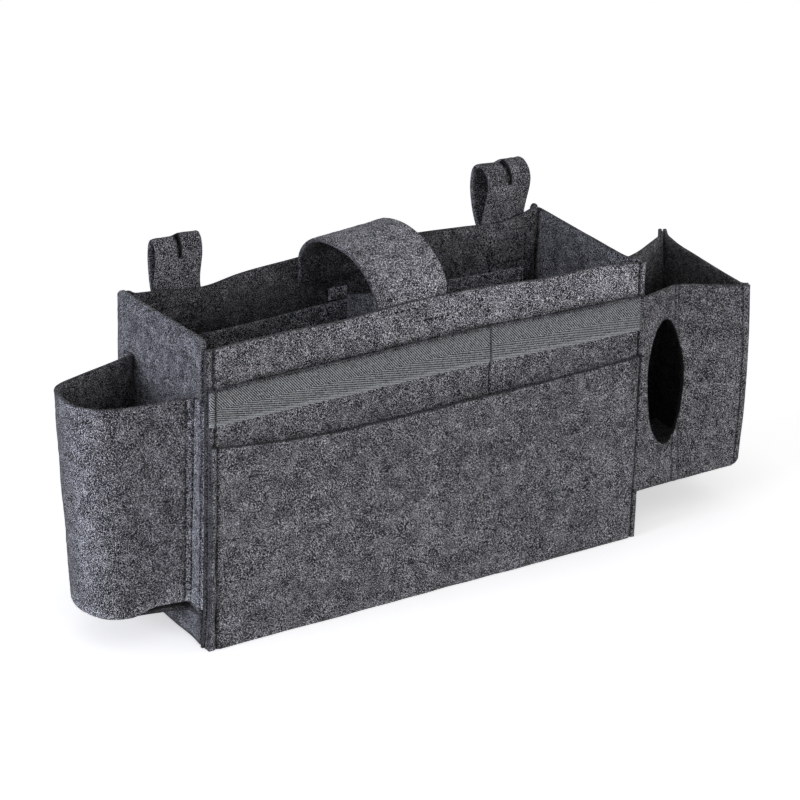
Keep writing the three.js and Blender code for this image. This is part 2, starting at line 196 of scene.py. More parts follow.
def srgb(text):
    channels = [int(text[i:i + 2], 16) / 255 for i in (1, 3, 5)]
    linear = [c / 12.92 if c <= 0.04045 else ((c + 0.055) / 1.055) ** 2.4 for c in channels]
    return (*linear, 1)


def colour_scale(tree, level, *codes):
    """Passes evenly from the first colour to the last as the level rises from 0 to 1."""
    scale = node(tree, "ShaderNodeValToRGB", {0: level})
    stops = scale.color_ramp.elements
    stops[0].color, stops[1].color = srgb(codes[0]), srgb(codes[-1])
    for k, code in enumerate(codes[1:-1], 1):
        stops.new(k / (len(codes) - 1)).color = srgb(code)
    return scale.outputs[0]


def toned(tree, colour):
    """The colour, made darker or paler by the tone that each point of a sheet holds: mostly painted light and
    shade.
    """
    tone = node(tree, "ShaderNodeAttribute", attribute_name="tone").outputs["Fac"]
    scaled = node(tree, "ShaderNodeVectorMath", {0: colour, "Scale": tone}, operation="SCALE")
    return scaled.outputs[0]


def weighted(tree, value, weight, added):
    """value * weight + added"""
    return node(tree, "ShaderNodeMath", {0: value, 1: weight, 2: added}, operation="MULTIPLY_ADD").outputs[0]


def felt_finish(name, *codes):
    """Needle-punched melange felt: quite matt, with no weave, speckled by single pale and dark fibres.

    Real fibres are 0.02 mm thick. They are drawn as coarse as the tufts that still show in the render.
    """
    material, tree = new_material(name)
    place = node(tree, "ShaderNodeTexCoord").outputs["Object"]
    grain = node(tree, "ShaderNodeTexNoise", {"Vector": place, "Scale": 1 / (GRAIN * MM),
                 "Detail": 0.5, "Distortion": 0.4}).outputs[0]
    fibres = 0.0
    for turned in FIBRE_TURNS:
        lie = node(tree, "ShaderNodeMapping", {"Vector": place, "Rotation": turned,
                   "Scale": (FIBRE_LENGTH * MM, FIBRE_WIDTH * MM, FIBRE_WIDTH * MM)}, vector_type="TEXTURE")
        strand = node(tree, "ShaderNodeTexNoise", {"Vector": lie.outputs[0], "Scale": 1,
                      "Detail": 1, "Distortion": 0.5}).outputs[0]
        fibres = node(tree, "ShaderNodeMath", {0: fibres, 1: strand}, operation="MAXIMUM").outputs[0]
    patch = node(tree, "ShaderNodeTexNoise", {"Vector": place, "Scale": 1 / (MOTTLE * MM),
                 "Detail": 1.5, "Roughness": 0.8}).outputs[0]
    speckle = weighted(tree, grain, GRAIN_WEIGHT, fibres)
    shade = weighted(tree, patch, MOTTLE_WEIGHT, speckle)
    level = node(tree, "ShaderNodeMapRange", {"Value": shade, "From Min": DARKEST, "From Max": PALEST})
    colour = toned(tree, colour_scale(tree, level.outputs[0], *codes))
    bump = node(tree, "ShaderNodeBump", {"Height": speckle, "Strength": 0.6, "Distance": 0.5 * MM})
    body = node(tree, "ShaderNodeBsdfPrincipled", {"Base Color": colour,
                "Roughness": 0.95, "Specular IOR Level": 0.2, "Sheen Weight": 0.08,
                "Sheen Roughness": 0.6, "Normal": bump.outputs[0]})
    node(tree, "ShaderNodeOutputMaterial", {"Surface": body.outputs[0]})
    return material


grey_felt = felt_finish("grey_needle_felt", "#0c0d0f", "#3e3e44", "#d9d9df")


def lumps(points, length, seed):
    """Soft random unevenness of about unit height, with bumps of the given length."""
    draw = np.random.default_rng(seed)
    waves = draw.normal(size=(WAVES, 3))
    pace = (math.tau / length) * draw.uniform(0.6, 1.5, (WAVES, 1))
    waves *= pace / np.linalg.norm(waves, axis=1, keepdims=True)
    start = draw.uniform(0, math.tau, WAVES)
    return math.sqrt(2 / WAVES) * np.sin(points @ waves.T + start).sum(axis=-1)


def ramp(value, start, end):
    """Rises evenly from 0 where the value is at start to 1 where it is at end."""
    return np.clip((value - start) / (end - start), 0, 1)


def joined(*coordinates):
    """Points from separate coordinates, or faces from separate corners; any may be one number."""
    return np.stack(np.broadcast_arrays(*coordinates), axis=-1)


def travelled(points, axis=0):
    """How far each point lies along its line."""
    steps = np.linalg.norm(np.diff(points, axis=axis), axis=-1)
    return np.cumsum(np.insert(steps, 0, 0, axis=axis), axis=axis)


def unit(vectors):
    return vectors / np.maximum(np.linalg.norm(vectors, axis=-1, keepdims=True), 1e-9)


def cad_corners(name):
    low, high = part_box(name)
    return np.array(low) / MM, np.array(high) / MM


def spread(low, high, spacing=GRID, rows=()):
    """Even steps from low to high, closer together at each sewn row."""
    steps = list(np.linspace(low, high, max(round((high - low) / spacing), 1) + 1))
    for row in rows:
        near = [row + step for step in ROW_STEPS if low < row + step < high]
        steps = [s for s in steps if s in (low, high) or abs(s - row) > max(ROW_STEPS) + spacing / 3] + near
    steps = sorted(steps)
    return np.array([s for s, after in zip(steps, [*steps[1:], math.inf]) if after - s > spacing / 15])


def cloth_mesh(name, middle, thickness=FELT, edge=FELT_EDGE, thin=0.0, uneven=1.0,
               tone=1.0, behind=1.0, raw=1.0, rim=RIM_SHADE):
    """A closed sheet with round edges, built on the points of its middle surface, in millimetres.

    thin says by how much the sheet is pressed thinner at each point, as under a row of stitches, and paints
    shade there.
    tone makes the colour darker or paler at each point, mostly as painted light and shade. It is multiplied
    by behind on the back of the sheet, by raw along cut edges and by rim along upper ones.
    """
    rows, cols = middle.shape[:2]
    seed = sum(map(ord, name))
    flat = joined(travelled(middle, axis=1), travelled(middle)).reshape(-1, 2) * MM
    normal = unit(np.cross(np.gradient(middle, axis=1), np.gradient(middle, axis=0)))
    middle = middle + normal * (SWELL_DEPTH * uneven * lumps(middle, SWELL, seed))[..., None]
    half = np.full((rows, cols), thickness / 2) - thin / 2
    # Where the sheet is pressed thin its colour is darkened: painted shade in the groove.
    shade = tone * (1 - GROOVE_SHADE * np.clip(2 * thin / thickness, 0, 1)) * np.ones((rows, cols))
    outward = np.zeros_like(middle)
    outward[0] -= unit(middle[1] - middle[0])
    outward[-1] += unit(middle[-1] - middle[-2])
    outward[:, 0] -= unit(middle[:, 1] - middle[:, 0])
    outward[:, -1] += unit(middle[:, -1] - middle[:, -2])
    outward = unit(outward)
    lump = LUMP_DEPTH * uneven
    front = middle - outward * edge + normal * (half + lump * lumps(middle, LUMP, seed + 1))[..., None]
    back = middle - outward * edge - normal * (half + lump * lumps(middle, LUMP, seed + 2))[..., None]
    grid = np.arange(rows * cols).reshape(rows, cols)
    ring = np.concatenate([grid[0, :-1], grid[:-1, -1], grid[-1, :0:-1], grid[:0:-1, 0]])
    at, out, up = (field.reshape(-1, 3)[ring] for field in (middle, outward, normal))
    thick = half.reshape(-1)[ring][:, None]
    slant = math.sqrt(0.5)
    turns = [(slant, thick - edge * (1 - slant)), (1, thick - edge),
             (1, edge - thick), (slant, edge * (1 - slant) - thick)]
    sides = [at + out * edge * (reach - 1) + up * rise for reach, rise in turns]
    points = np.concatenate([front.reshape(-1, 3), back.reshape(-1, 3), *sides])
    quads = joined(grid[:-1, :-1], grid[:-1, 1:], grid[1:, 1:], grid[1:, :-1]).reshape(-1, 4)
    faces = [quads, quads[:, ::-1] + rows * cols]
    rings = [2 * rows * cols + k * len(ring) + np.arange(len(ring)) for k in range(len(turns))]
    bands = [ring, *rings, ring + rows * cols]
    for first, second in zip(bands, bands[1:]):
        faces.append(joined(first, second, np.roll(second, -1), np.roll(first, -1)))
    faces = np.concatenate(faces)
    mesh = bpy.data.meshes.new(name)
    mesh.from_pydata((points * MM).tolist(), [], faces.tolist())
    flat = np.concatenate([flat, flat, *[flat[ring]] * len(turns)])
    mesh.uv_layers.new(name="flat").data.foreach_set("uv", flat[faces.ravel()].ravel())
    raw = (raw * np.ones((rows, cols))).reshape(-1)[ring]
    edge_shade = shade.reshape(-1)[ring] * np.where(out[:, 2] > RIM_FACING, rim, raw)
    shade = np.concatenate([shade.reshape(-1), (behind * shade).reshape(-1), *[edge_shade] * len(turns)])
    mesh.attributes.new("tone", "FLOAT", "POINT").data.foreach_set("value", shade)
    mesh.polygons.foreach_set("use_smooth", np.ones(len(faces), dtype=bool))
    mesh.update()
    return mesh


def cloth(name, middle, material=grey_felt, **shape):
    piece = in_scene(name, cloth_mesh(name, middle, **shape))
    piece.data.materials.append(material)
    return piece


def sewn_on(piece, slot, *nodes):
    """Fixes a piece to the caddy's body, in the place of its solids."""
    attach(piece, "caddy")
    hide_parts(*nodes)


base_low, base_high = cad_corners("base_panel")
base_x, base_y = np.meshgrid(*(spread(base_low[k], base_high[k], 2 * GRID) for k in (0, 1)))
base_x = base_x - ramp(-base_x, 0, base_high[0]) * np.interp(base_y, *LEFT_FLARE)
base_y = base_y + ramp(base_y, 0, base_high[1]) * (BACK_REACH + CORNER_REACH * ramp(-base_x, 166, 170))
base_middle = joined(base_x, base_y, FELT / 2 + GAP)
sewn_on(cloth("felt_base", base_middle, uneven=0.3), "felt", "base_panel")


# Front panel: the tall outer wall, cut as one felt rectangle with a seam allowance at both ends.
# The handle pulls its rim inwards, so it bows into the box, most at the middle of the rim.
LAYER = FELT + GAP
SEAM = 6.5
RIM_BOW = 9.0
BOW_POWER = 3
PRESS = 1.5
PRESS_WIDTH = 1.0
front_low, front_high = cad_corners("front_panel")
EDGE_X = front_high[0]
SIDE_FACE = EDGE_X - SEAM
BOX_HEIGHT = front_high[2]
FRONT_FACE = front_low[1]
BAND_SAG = 1.8
MIDDLE_TOP = cad_corners("middle_pocket")[1][2] - BAND_SAG
CORNER_ROW = SIDE_FACE + 1.3
CORNER_ROWS = (-CORNER_ROW, CORNER_ROW)
POCKET_END = EDGE_X - 1.3
FOOT_SPLAY = 2.0
SEAM_EDGE = 0.5
CUT_SHADE = 0.5
END_SHADE = 0.4
SHADE_SIDE = 0.9
ROW_SHADE = 0.6
MOUTH_SHADE = 0.4
RIM_PAINTED_LIGHT = 0.4
RIM_PAINTED_LIGHT_RIGHT = 0.25
RIM_WEAR = 0.5
RIM_DIPS = ((3.4, EDGE_X, 22), (2.3, -72, 38), (2.5, 96, 36))


def bell(value, middle, width):
    """A smooth hump of height 1."""
    return np.exp(-((value - middle) / width) ** 2)


def bow(x, z):
    """How far the front wall leans into the box."""
    return RIM_BOW * (1 - np.minimum(np.abs(x) / SIDE_FACE, 1) ** 2) * (z / BOX_HEIGHT) ** BOW_POWER


def pressed(x, rows=CORNER_ROWS):
    """How far a sheet is pressed in by upright rows of stitches, from 0 to 1."""
    return sum(bell(x, row, PRESS_WIDTH) for row in rows)


def front_grid(left, right, low, high, rows=CORNER_ROWS):
    """Points over a sheet of the front wall; its upper edge, high, may change along the wall."""
    steps = spread(0, 1, GRID / (np.max(high(0)) - low))
    across, share = np.meshgrid(spread(left, right, GRID, rows), steps)
    height = low + share * (high(across) - low)
    splay = FOOT_SPLAY * ramp(-across, CORNER_ROW, CORNER_ROW + 4) * np.exp(-height / 12)
    return across - splay, height


def front_sheet(name, x, z, surface, rows=CORNER_ROWS, **look):
    """A felt sheet of the front wall, pressed thin at its rows, with darker cut edges on its left half."""
    return cloth(name, joined(x, surface(x, z), z), thin=PRESS * pressed(x, rows), edge=SEAM_EDGE,
                 raw=np.where(x < 0, CUT_SHADE, 1), **look)


def front_surface(x, z):
    return FRONT_FACE + FELT / 2 + bow(x, z)


def front_rim(x):
    return BOX_HEIGHT - RIM_WEAR - sum(drop * bell(x, middle, width) for drop, middle, width in RIM_DIPS)


front_x, front_z = front_grid(-EDGE_X, EDGE_X, 0, front_rim)
# Beside the corner rows the colour is darkened as painted shade in their grooves; the flange left of the
# pockets is darker.
front_tone = (1 - END_SHADE * (front_x < -POCKET_END)) * (1 - ROW_SHADE * pressed(front_x - SHADE_SIDE))
# A painted shadow lies on the panel just above the middle pocket's mouth.
front_tone = front_tone * (1 - MOUTH_SHADE * bell(front_z, MIDDLE_TOP, 2))
# Above that mouth the panel is painted lighter, more towards the right: painted light.
rim_painted_light = RIM_PAINTED_LIGHT + RIM_PAINTED_LIGHT_RIGHT * front_x / EDGE_X
front_tone = front_tone * (1 + rim_painted_light * ramp(front_z, MIDDLE_TOP, MIDDLE_TOP + 4))
front_panel = front_sheet("felt_front", front_x, front_z, front_surface, tone=front_tone, rim=0.5)
sewn_on(front_panel, "felt", "front_panel")


# Side panels: one felt rectangle each, flared outwards at the front and sewn to the back of the front panel.
# Their back ends run straight on past the back panel and form the outside of the back corner seams.
BACK_END = cad_corners("left_panel")[1][1]
BACK_TAIL = 6.0
TAIL_DROP = 4.0
FLARE_DROP = 4.5
FLARE_END = (EDGE_X - 0.9, FRONT_FACE + FELT + GAP + FELT / 2 + 0.8)
WALL_STEPS = 70
FOOT_SHADE = 0.65
POCKET_SHADE = 0.45
RIGHT_RISE = (2.9, -2.7)


def even_steps(line, count):
    """The same line, laid out in even steps."""
    travel = travelled(line)
    even = np.linspace(0, travel[-1], count)
    return joined(*(np.interp(even, travel, line[:, k]) for k in range(line.shape[1])))


def spline(points, count):
    """A smooth line through the points, laid out in even steps."""
    points = np.array(points, dtype=float)
    padded = np.concatenate([[2 * points[0] - points[1]], points, [2 * points[-1] - points[-2]]])
    line = []
    for a, b, c, d in zip(padded, padded[1:], padded[2:], padded[3:]):
        for t in np.linspace(0, 1, 24, endpoint=False):
            line.append(0.5 * (2 * b + (c - a) * t + (2 * a - 5 * b + 4 * c - d) * t ** 2
                               + (3 * b - a - 3 * c + d) * t ** 3))
    return even_steps(np.array([*line, points[-1]]), count)


def wall(foot, rim, low, high):
    """The middle surface between two plan lines of equally many points, from low to high along them."""
    share = spread(0, 1, GRID / (np.max(high) - np.min(low)))[:, None]
    plan = foot + share[..., None] * (rim - foot)
    height = low + share * (high - low) * np.ones(len(foot))
    return joined(plan[..., 0], plan[..., 1], height)


wall_x = SIDE_FACE - FELT / 2
left_foot = spline([FLARE_END, (wall_x + 5.6, -38), (wall_x + 4.7, -12), (wall_x + 3.2, 25),
                    (wall_x + 0.3, BACK_END + BACK_TAIL)], WALL_STEPS) * (-1, 1)
left_rim = spline([FLARE_END, (wall_x + 1.3, -43), (wall_x - 1, -30), (wall_x - 0.9, -14), (wall_x, 20),
                   (wall_x, BACK_END + BACK_TAIL)], WALL_STEPS) * (-1, 1)
left_drop = FLARE_DROP * ramp(left_rim[:, 1], -43, -54) ** 1.5
left_drop = left_drop + TAIL_DROP * ramp(left_rim[:, 1], BACK_END, BACK_END + BACK_TAIL) ** 2
left_middle = wall(left_foot, left_rim, 0, BOX_HEIGHT - left_drop)
left_y, left_z = left_middle[..., 1], left_middle[..., 2]
# The foot is darkened as a painted shadow, and the flared front end is darker.
left_tone = (1 - FOOT_SHADE * ramp(left_z, GRID, 0)) * np.where(left_y < -50, 1 - END_SHADE, 1)
# A painted shadow darkens the panel low down, where the bottle pocket's foot stands off it.
left_tone = left_tone * (1 - POCKET_SHADE * bell(left_z, 32, 14))
sewn_on(cloth("felt_left", left_middle, edge=SEAM_EDGE, tone=left_tone, rim=1.3), "felt", "left_panel")

right_foot = spline([(wall_x + 0.3, BACK_END), (wall_x + 0.5, 25), (wall_x + 1, -25), (wall_x + 1.6, -44),
                     FLARE_END], WALL_STEPS - 4)
right_rim = spline([(wall_x, BACK_END), (wall_x, 20), (wall_x, -25), (wall_x + 0.4, -45), FLARE_END],
                   WALL_STEPS - 4)
right_rise = np.linspace(*RIGHT_RISE, len(right_rim))
right_drop = TAIL_DROP * ramp(np.arange(len(right_rim)), 3, 0) ** 2
right_middle = wall(right_foot, right_rim, 0, BOX_HEIGHT + (right_rise - right_drop))
sewn_on(cloth("felt_right", right_middle), "felt", "right_panel")


# Back panel: a felt rectangle whose ends turn backwards against the side panels in the corner seams.
# Its rim is pulled up by the handle and sinks at the left loop.
CORNER_RADIUS = 4.0
BACK_INSIDE = cad_corners("back_panel")[1][1] - (BACK_END + FRONT_FACE) - FELT
BACK_LINE = BACK_INSIDE + FELT / 2
BACK_TURN = SIDE_FACE - LAYER - FELT / 2
TAIL_STEPS = 7
BACK_PAINTED_SHADE = 0.6
RIM_WAVES = ((4.6, 18, 66), (-5.2, -118, 30), (-2, 133, 20), (6, 172, 16))


def back_rim(x):
    return BOX_HEIGHT + sum(height * bell(x, middle, width) for height, middle, width in RIM_WAVES)


corner_turn = np.linspace(0, math.pi / 2, 9)[1:-1]
turn_x = BACK_TURN - CORNER_RADIUS * (1 - np.cos(corner_turn))
turn_y = BACK_LINE + CORNER_RADIUS * (1 - np.sin(corner_turn))
end_x = np.concatenate([np.full(TAIL_STEPS, BACK_TURN), turn_x])
left_end, right_end = (joined(end_x, np.concatenate([
    np.linspace(BACK_END + tail, BACK_LINE + CORNER_RADIUS, TAIL_STEPS), turn_y])) for tail in (BACK_TAIL, 0))
straight = joined(spread(CORNER_RADIUS - BACK_TURN, BACK_TURN - CORNER_RADIUS), BACK_LINE)
back_line = np.concatenate([left_end * (-1, 1), straight, right_end[::-1]])
back_x, back_y = back_line.T
tail_end = BACK_END + np.where(back_x < 0, BACK_TAIL, 0)
back_drop = TAIL_DROP * ramp(back_y, BACK_END - 3, tail_end) ** 2
# The inside face is darkened as painted shade, least near x = 130; behind undoes it on the outside.
back_painted_shade = BACK_PAINTED_SHADE + (1 - BACK_PAINTED_SHADE) * bell(back_x, 130, 30)
back_panel = cloth("felt_back", wall(back_line, back_line, 0, back_rim(back_x) - back_drop),
                   tone=back_painted_shade, behind=1 / back_painted_shade)
sewn_on(back_panel, "felt", "back_panel")


# Middle pocket: a felt rectangle over the front panel, sewn in at both ends and along the base.
# One upright row of stitches divides it, and its mouth stands a little open on both sides of that row.
DIVIDE_X = 47.5
MIDDLE_FACE = FRONT_FACE - LAYER
MIDDLE_ROWS = (-CORNER_ROW, DIVIDE_X, CORNER_ROW)
MOUTH_OPEN = 2.2
MOUTH_DEPTH = 75
POCKET_TOP = cad_corners("front_pocket")[1][2]
POCKET_SAG = spline([(-180, 3.3), (-130, -2.5), (-86, -5.6), (-35, -6.1), (37, -5.3), (110, -4.5),
                     (180, -2.2)], 80)
POCKET_RIM_SHADE = 0.25


def middle_puff(x, z):
    left, right = ramp(x, -CORNER_ROW, DIVIDE_X), ramp(x, DIVIDE_X, CORNER_ROW)
    rise = ramp(z, MIDDLE_TOP - MOUTH_DEPTH, MIDDLE_TOP) ** 2
    return MOUTH_OPEN * (np.sin(math.pi * left) + np.sin(math.pi * right)) ** 1.5 * rise


def middle_surface(x, z):
    return MIDDLE_FACE + FELT / 2 + bow(x, z) - middle_puff(x, z) + PRESS * pressed(x, MIDDLE_ROWS)


def middle_rim(x):
    return MIDDLE_TOP + 0 * x


def pocket_rim(x):
    """The upper edge of the front pocket, which lies over this one; its shadow is painted on this one."""
    return POCKET_TOP + np.interp(x, POCKET_SAG[:, 0], POCKET_SAG[:, 1])


middle_x, middle_z = front_grid(-POCKET_END, POCKET_END, 0, middle_rim, MIDDLE_ROWS)
# A painted shadow of the front pocket's rim lies across this pocket, and painted shade darkens it beside the
# stitch rows.
middle_painted_shade = 1 - POCKET_RIM_SHADE * bell(middle_z, pocket_rim(middle_x), 7)
middle_painted_shade = middle_painted_shade * (1 - ROW_SHADE * pressed(middle_x - SHADE_SIDE))
middle_pocket = front_sheet("felt_middle_pocket", middle_x, middle_z, middle_surface, MIDDLE_ROWS,
                            tone=middle_painted_shade)
sewn_on(middle_pocket, "felt", "middle_pocket")


# Webbing band: a 25 mm polyester herringbone tape, sewn over the top edge of the middle pocket.
# Its twill turns round along the middle, and its lower edge is a paler plain selvage.
TAPE = 1.2
TAPE_EDGE = 0.4
TAPE_WIDTH = 25.0
TWILL = 1.45
TWILL_LEANS = ((-14, 0.88 * TWILL), (-48, 0.95 * TWILL))
SLUB = 0.7
SLUB_WAVE = 6.0
SLUB_WEIGHT = 3.2
SELVAGE = 3.0
SELVAGE_LIFT = 0.6
WEAVE_DARK, WEAVE_PALE = 1.42, 2.24
FELT_SHOWN = 0.4
WEBBING_WRAP = 1.15
TOP_SHADE = 0.25
END_PAINTED_LIGHT = 0.2
WEBBING_LOW = cad_corners("webbing_band")[0][2] - BAND_SAG


def twill_finish(name, *codes):
    """Woven polyester tape: smoother than felt, its slanting ribs drawn at about twice their real pitch."""
    material, tree = new_material(name)
    flat = node(tree, "ShaderNodeUVMap", uv_map="flat").outputs[0]
    across = node(tree, "ShaderNodeSeparateXYZ", {0: flat}).outputs[1]
    place = node(tree, "ShaderNodeTexCoord").outputs["Object"]
    slub = node(tree, "ShaderNodeTexNoise", {"Vector": place, "Scale": 1 / (SLUB * MM),
                "Detail": 2}).outputs[0]
    ribs = []
    for lean, pitch in TWILL_LEANS:
        lean = math.radians(lean)
        run = Vector((math.sin(-lean), math.cos(lean), 0)) * math.tau / (pitch * MM)
        phase = node(tree, "ShaderNodeVectorMath", {0: flat, 1: run}, operation="DOT_PRODUCT")
        wavy = weighted(tree, slub, SLUB_WAVE, phase.outputs["Value"])
        ribs.append(node(tree, "ShaderNodeMath", {0: wavy}, operation="SINE").outputs[0])
    upper = node(tree, "ShaderNodeMath", {0: across, 1: TAPE_WIDTH / 2 * MM}, operation="GREATER_THAN")
    woven = node(tree, "ShaderNodeMix", {0: upper.outputs[0], 2: ribs[0], 3: ribs[1]}).outputs[0]
    border = node(tree, "ShaderNodeMath", {0: across, 1: SELVAGE * MM}, operation="LESS_THAN").outputs[0]
    plain = weighted(tree, border, SELVAGE_LIFT, woven)
    uneven = weighted(tree, slub, SLUB_WEIGHT, plain)
    level = node(tree, "ShaderNodeMapRange", {"Value": uneven, "From Min": WEAVE_DARK,
                 "From Max": WEAVE_PALE})
    colour = toned(tree, colour_scale(tree, level.outputs[0], *codes))
    bump = node(tree, "ShaderNodeBump", {"Height": plain, "Strength": 0.5, "Distance": 0.25 * MM})
    body = node(tree, "ShaderNodeBsdfPrincipled", {"Base Color": colour, "Roughness": 0.8,
                "Specular IOR Level": 0.3, "Sheen Weight": 0.05, "Normal": bump.outputs[0]})
    node(tree, "ShaderNodeOutputMaterial", {"Surface": body.outputs[0]})
    return material


grey_tape = twill_finish("herringbone_polyester_tape", "#060708", "#aeb2b4")


def webbing_surface(x, z):
    wrapped = WEBBING_WRAP * np.maximum(np.abs(x) - POCKET_END, 0)
    return middle_surface(x, z) - FELT / 2 - GAP - TAPE / 2 + PRESS / 2 * pressed(x, MIDDLE_ROWS) + wrapped


def webbing_rim(x):
    return middle_rim(x) - FELT_SHOWN


webbing_x, webbing_z = front_grid(-EDGE_X + 0.5, CORNER_ROW + 1, WEBBING_LOW, webbing_rim, MIDDLE_ROWS)
# Painted shade darkens the tape in the stitch grooves, and its left end is painted lighter: painted light.
webbing_light_and_shade = 1 - GROOVE_SHADE * pressed(webbing_x, MIDDLE_ROWS) + END_PAINTED_LIGHT * (webbing_x < 1 - POCKET_END)
# Its upper edge, folded over the pocket's rim, is darkened as painted shade.
webbing_light_and_shade = webbing_light_and_shade * (1 - TOP_SHADE * ramp(webbing_z, MIDDLE_TOP - 4, MIDDLE_TOP - 2))
webbing_y = webbing_surface(webbing_x, webbing_z)
webbing = cloth("webbing_tape", joined(webbing_x, webbing_y, webbing_z), grey_tape, thickness=TAPE,
                edge=TAPE_EDGE, uneven=0.3, tone=webbing_light_and_shade)
sewn_on(webbing, "webbing", "webbing_band")


# Front pocket: a low felt rectangle over the middle pocket, sewn in at both ends and along the base.
# Its upper edge sags between the ends and stands open a little.
POCKET_FACE = MIDDLE_FACE - LAYER
POCKET_OPEN = 2.6


def pocket_surface(x, z):
    puff = POCKET_OPEN * np.maximum(1 - (x / CORNER_ROW) ** 2, 0) * ramp(z, 0, POCKET_TOP) ** 4
    return POCKET_FACE + FELT / 2 + bow(x, z) - puff + 2 * PRESS * pressed(x)


pocket_x, pocket_z = front_grid(-POCKET_END, POCKET_END, 0, pocket_rim)
# Painted shade darkens the pocket beside its corner rows, and rim=0.4 darkens its upper edge as the painted
# shadow of its open mouth.
pocket_painted_shade = 1 - 1.5 * ROW_SHADE * pressed(pocket_x - SHADE_SIDE)
front_pocket = front_sheet("felt_front_pocket", pocket_x, pocket_z, pocket_surface, tone=pocket_painted_shade, rim=0.4)
sewn_on(front_pocket, "felt", "front_pocket")


# Inner pocket: a flat felt rectangle sewn to the inside of the back panel at both ends and at the base.
# Its rim is lower towards the ends, and its mouth stands open by a millimetre.
INNER_OPEN = 1.2
INNER_DROP = 4.6
INNER_RISE = 4.5
inner_low, inner_high = cad_corners("inner_pocket")
inner_x, inner_share = np.meshgrid(spread(inner_low[0], inner_high[0]), spread(0, 1, GRID / inner_high[2]))
inner_top = inner_high[2] - INNER_DROP + INNER_RISE * bell(inner_x, 20, 85)
inner_z = inner_low[2] + inner_share * (inner_top - inner_low[2])
inner_puff = INNER_OPEN * np.cos(math.pi * inner_x / (inner_high[0] - inner_low[0])) * inner_share ** 4
inner_y = inner_low[1] + FELT / 2 - inner_puff
# Its colour is painted much lighter, as painted light in the dim box, and its top edge a little less so.
inner_pocket = cloth("felt_inner_pocket", joined(inner_x, inner_y, inner_z), tone=2.5, rim=0.9)
sewn_on(inner_pocket, "felt", "inner_pocket")


# Cross divider: a felt rectangle that stands across the box, between the front panel and the inner pocket.
# It rises towards the front, where the handle is, and bends a little to the right.
DIVIDER_DEPTH = 107
DIVIDER_RISE = 10.0
DIVIDER_BEND = 2.5
divider_low, divider_high = cad_corners("cross_divider")
divider_share, divider_z = np.meshgrid(spread(0, 1, GRID / DIVIDER_DEPTH),
                                       spread(divider_low[2], divider_high[2]))
divider_z = divider_z + DIVIDER_RISE * ramp(divider_share, 1, 0.68) * (divider_z / divider_high[2]) ** 4
divider_front = FRONT_FACE + FELT + GAP + bow(0, divider_z)
divider_back = divider_high[1] - 1.2
divider_y = divider_front + divider_share * (divider_back - divider_front)
divider_bend = DIVIDER_BEND * np.sin(math.pi * divider_share) * (divider_z / divider_high[2]) ** 2
divider_x = (divider_low[0] + divider_high[0]) / 2 + divider_bend
# Its colour is painted a little darker: painted shade on its face lit from the left.
sewn_on(cloth("felt_divider", joined(divider_x, divider_y, divider_z), tone=0.85), "felt", "cross_divider")


# Seam tape: a short strip of thin pale felt, sewn over the back seam of the divider.
# It shows as a pale patch above the left compartment.
patch_low, patch_high = cad_corners("divider_seam_tape")
patch_x, patch_z = np.meshgrid(*(spread(patch_low[k], patch_high[k], GRID / 2) for k in (0, 2)))
# Like the inner pocket it is painted much lighter, as painted light in the dim box, over its own paler look.
patch = cloth("seam_tape", joined(patch_x, patch_low[1] - 1, patch_z), thickness=TAPE, edge=TAPE_EDGE,
              uneven=0.3, tone=2.6)
sewn_on(patch, "felt", "divider_seam_tape")


# Carrying handle: one felt strip, sewn flat to the insides of the front and back panels.
# It arches between them and leans a little to the left, so its right edge stands higher.
HANDLE_LEAN = math.radians(5.5)
LEAN_START = 8.0
LEAN_FULL = 12.0
HANDLE_PAINTED_LIGHT = 1.6
CROWN_PAINTED_LIGHT = 0.5
handle_low, handle_high = cad_corners("handle_arch")
HANDLE_X = (handle_low[0] + handle_high[0]) / 2
ARCH_RISE = handle_high[2] - BOX_HEIGHT - FELT / 2
TAB_LOW = cad_corners("handle_back_tab")[0][2]
ARCH_FRONT = np.mean([corner[1] for corner in cad_corners("handle_front_tab")])
ARCH_BACK = np.mean([corner[1] for corner in cad_corners("handle_back_tab")])
arch_turn = np.linspace(math.pi, 0, 56)
arch_y = (ARCH_FRONT + ARCH_BACK) / 2 + (ARCH_BACK - ARCH_FRONT) / 2 * np.cos(arch_turn)
arch_z = BOX_HEIGHT + ARCH_RISE * np.sin(arch_turn)
tab_z = spread(TAB_LOW, BOX_HEIGHT)[:-1]
strap_y = np.concatenate([np.full_like(tab_z, ARCH_FRONT), arch_y, np.full_like(tab_z, ARCH_BACK)])
strap_z = np.concatenate([tab_z, arch_z, tab_z[::-1]])
across, along = np.meshgrid(spread(handle_low[0], handle_high[0]) - HANDLE_X, np.arange(len(strap_z)))
over = strap_z[along] - BOX_HEIGHT
bend = ramp(over, -LEAN_START, LEAN_FULL)
lean = HANDLE_LEAN * bend ** 2 * (3 - 2 * bend)
handle_x = HANDLE_X + across * np.cos(lean) - over * np.sin(lean)
handle_z = BOX_HEIGHT + across * np.sin(lean) + over * np.cos(lean)
# The strap is painted lighter, most at its crown: painted light. Its underside is darker as painted shade,
# and its cut edges are darker.
handle_painted_light = HANDLE_PAINTED_LIGHT + CROWN_PAINTED_LIGHT * ramp(over, 0, ARCH_RISE) ** 4
handle = cloth("felt_handle", joined(handle_x, strap_y[along], handle_z), tone=handle_painted_light,
               behind=0.4, raw=0.35)
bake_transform(handle)
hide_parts("handle_arch", "handle_front_tab", "handle_back_tab")


